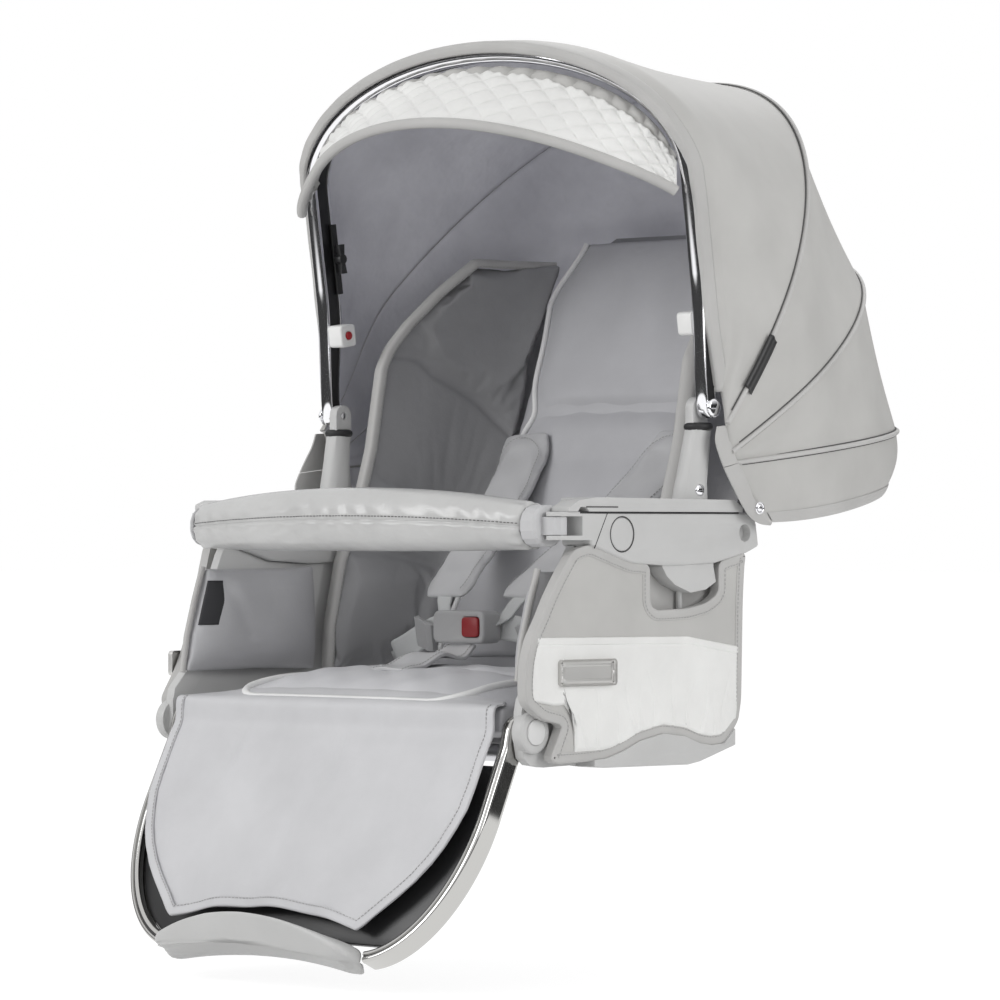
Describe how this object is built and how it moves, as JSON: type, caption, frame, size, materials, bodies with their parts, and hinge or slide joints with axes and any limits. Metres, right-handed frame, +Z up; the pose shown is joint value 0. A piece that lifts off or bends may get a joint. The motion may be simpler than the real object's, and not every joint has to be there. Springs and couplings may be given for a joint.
{
  "type": "travel system seat unit",
  "caption": "Reversible pram seat unit with folding hood, swing-away bumper bar, reclining padded seat, leg rest and side lock shoes for a chassis.",
  "frame": {"origin": "midway between the two lock shoes, at the height of their soles", "axes": "+X to the seat's left hand side as it faces -Y (the right side in the picture), -Y to the front of the seat, +Z up"},
  "size_m": [0.4678, 0.7236, 0.7506],
  "materials": {
    "grey_plastic": "fine matt grain",
    "leatherette": "soft smooth warm grey",
    "grey_fabric": "fine matt weave",
    "white_quilt": "diamond quilted, satin",
    "webbing": "woven strap",
    "piping": "covered cord",
    "chrome": "mirror",
    "steel": "zinc",
    "grey_board": "plain",
    "black_plastic": "plain",
    "white_plastic": "plain",
    "red_plastic": "satin"
  },
  "bodies": {
    "seat": {"side_housing_R": "grey_plastic", "side_housing_L": "grey_plastic", "arm_cap_R": "grey_plastic", "arm_cap_L": "grey_plastic", "side_frame_R": "grey_plastic", "side_frame_L": "grey_plastic", "lock_shoe_R": "grey_plastic", "lock_shoe_L": "grey_plastic", "hood_socket_R": "grey_plastic", "hood_socket_L": "grey_plastic", "pivot_bolt_R": "chrome", "pivot_bolt_L": "chrome", "side_panel_R": "leatherette", "side_panel_L": "leatherette", "side_cushion_R": "grey_fabric", "side_cushion_L": "grey_fabric", "cross_tube": "steel", "backrest_rod": "steel", "seat_pan": "grey_board", "seat_cushion": "grey_fabric", "crotch_strap": "webbing", "waist_belt": "webbing", "buckle": "grey_plastic", "hoop_rear": "piping", "hood_skirt": "leatherette"},
    "leg_rest": {"legrest_tube_R": "chrome", "legrest_tube_L": "chrome", "legrest_board": "black_plastic", "foot_bar": "grey_plastic", "apron": "grey_fabric"},
    "backrest": {"backrest_board": "grey_board", "backrest_cushion": "grey_fabric", "wing_R": "grey_fabric", "wing_L": "grey_fabric", "shoulder_pad_R": "grey_fabric", "shoulder_pad_L": "grey_fabric"},
    "handle": {"recline_handle": "black_plastic"},
    "middle_hoop": {"hoop_middle": "piping", "gore_back": "leatherette"},
    "front_hoop": {"hoop_front": "piping", "gore_middle": "leatherette"},
    "bow": {"front_bow": "chrome", "gore_front": "leatherette", "visor": "white_quilt", "bow_clip_R": "white_plastic", "bow_clip_L": "white_plastic", "stay_strip": "black_plastic"},
    "stay_screw": {"wing_screw": "black_plastic"},
    "clip_press_R": {"clip_button_R": "red_plastic"},
    "clip_press_L": {"clip_button_L": "red_plastic"},
    "bumper": {"bumper_core": "grey_plastic", "bumper_cover": "grey_fabric"},
    "bar_press_R": {"bumper_button_R": "grey_plastic"},
    "bar_press_L": {"bumper_button_L": "grey_plastic"},
    "leg_press_R": {"hinge_button_R": "grey_plastic"},
    "leg_press_L": {"hinge_button_L": "grey_plastic"},
    "pull_R": {"trigger_R": "grey_plastic"},
    "pull_L": {"trigger_L": "grey_plastic"},
    "buckle_press": {"buckle_button": "red_plastic"}
  },
  "joints": [
    {"name": "legrest_raise", "type": "hinge", "parent": "seat", "child": "leg_rest", "pos_m": [0, -0.141, 0.03], "axis": [-1, 0, 0], "range_deg": [0, 55], "deforming": ["apron"]},
    {"name": "backrest_recline", "type": "hinge", "parent": "seat", "child": "backrest", "pos_m": [0, 0.085, 0.036], "axis": [-1, 0, 0], "range_deg": [0, 12]},
    {"name": "handle_lift", "type": "slide", "parent": "backrest", "child": "handle", "axis": [0, 0.3616, 0.9323], "range_m": [0, 0.01], "stiffness_N_per_m": 400},
    {"name": "middle_hoop_fold", "type": "hinge", "parent": "seat", "child": "middle_hoop", "pos_m": [0, 0.055, 0.284], "axis": [-1, 0, 0], "range_deg": [0, 14.13], "deforming": ["gore_back"]},
    {"name": "front_hoop_fold", "type": "hinge", "parent": "middle_hoop", "child": "front_hoop", "pos_m": [0, 0.055, 0.284], "axis": [-1, 0, 0], "range_deg": [0, 15], "deforming": ["gore_middle"]},
    {"name": "bow_fold", "type": "hinge", "parent": "front_hoop", "child": "bow", "pos_m": [0, 0.055, 0.284], "axis": [-1, 0, 0], "range_deg": [0, 30.5], "deforming": ["gore_front"]},
    {"name": "stay_screw_turn", "type": "hinge", "parent": "bow", "child": "stay_screw", "pos_m": [-0.2027, 0.05295, 0.41817], "axis": [1, 0, 0], "continuous": true},
    {"name": "clip_button_R_press", "type": "slide", "parent": "bow", "child": "clip_press_R", "axis": [1, 0, 0], "range_m": [0, 0.002], "stiffness_N_per_m": 200},
    {"name": "clip_button_L_press", "type": "slide", "parent": "bow", "child": "clip_press_L", "axis": [-1, 0, 0], "range_m": [0, 0.002], "stiffness_N_per_m": 200},
    {"name": "bumper_swing", "type": "hinge", "parent": "seat", "child": "bumper", "pos_m": [0.209, -0.119, 0.1895], "axis": [0, 0, 1], "range_deg": [0, 100]},
    {"name": "bumper_button_R_press", "type": "slide", "parent": "seat", "child": "bar_press_R", "axis": [-1, 0, 0], "range_m": [0, 0.003], "stiffness_N_per_m": 300},
    {"name": "bumper_button_L_press", "type": "slide", "parent": "seat", "child": "bar_press_L", "axis": [1, 0, 0], "range_m": [0, 0.003], "stiffness_N_per_m": 300},
    {"name": "hinge_button_R_press", "type": "slide", "parent": "seat", "child": "leg_press_R", "axis": [-1, 0, 0], "range_m": [0, 0.0025], "stiffness_N_per_m": 300},
    {"name": "hinge_button_L_press", "type": "slide", "parent": "seat", "child": "leg_press_L", "axis": [1, 0, 0], "range_m": [0, 0.0025], "stiffness_N_per_m": 300},
    {"name": "trigger_R_lift", "type": "slide", "parent": "seat", "child": "pull_R", "axis": [0, 0, 1], "range_m": [0, 0.009], "stiffness_N_per_m": 300},
    {"name": "trigger_L_lift", "type": "slide", "parent": "seat", "child": "pull_L", "axis": [0, 0, 1], "range_m": [0, 0.009], "stiffness_N_per_m": 300},
    {"name": "buckle_button_press", "type": "slide", "parent": "seat", "child": "buckle_press", "axis": [0, 1, 0], "range_m": [0, 0.0025], "stiffness_N_per_m": 200}
  ],
  "couplings": [
    {"joint": "middle_hoop_fold", "follows": "bow_fold", "ratio": 0.4535},
    {"joint": "front_hoop_fold", "follows": "bow_fold", "ratio": 0.482}
  ]
}
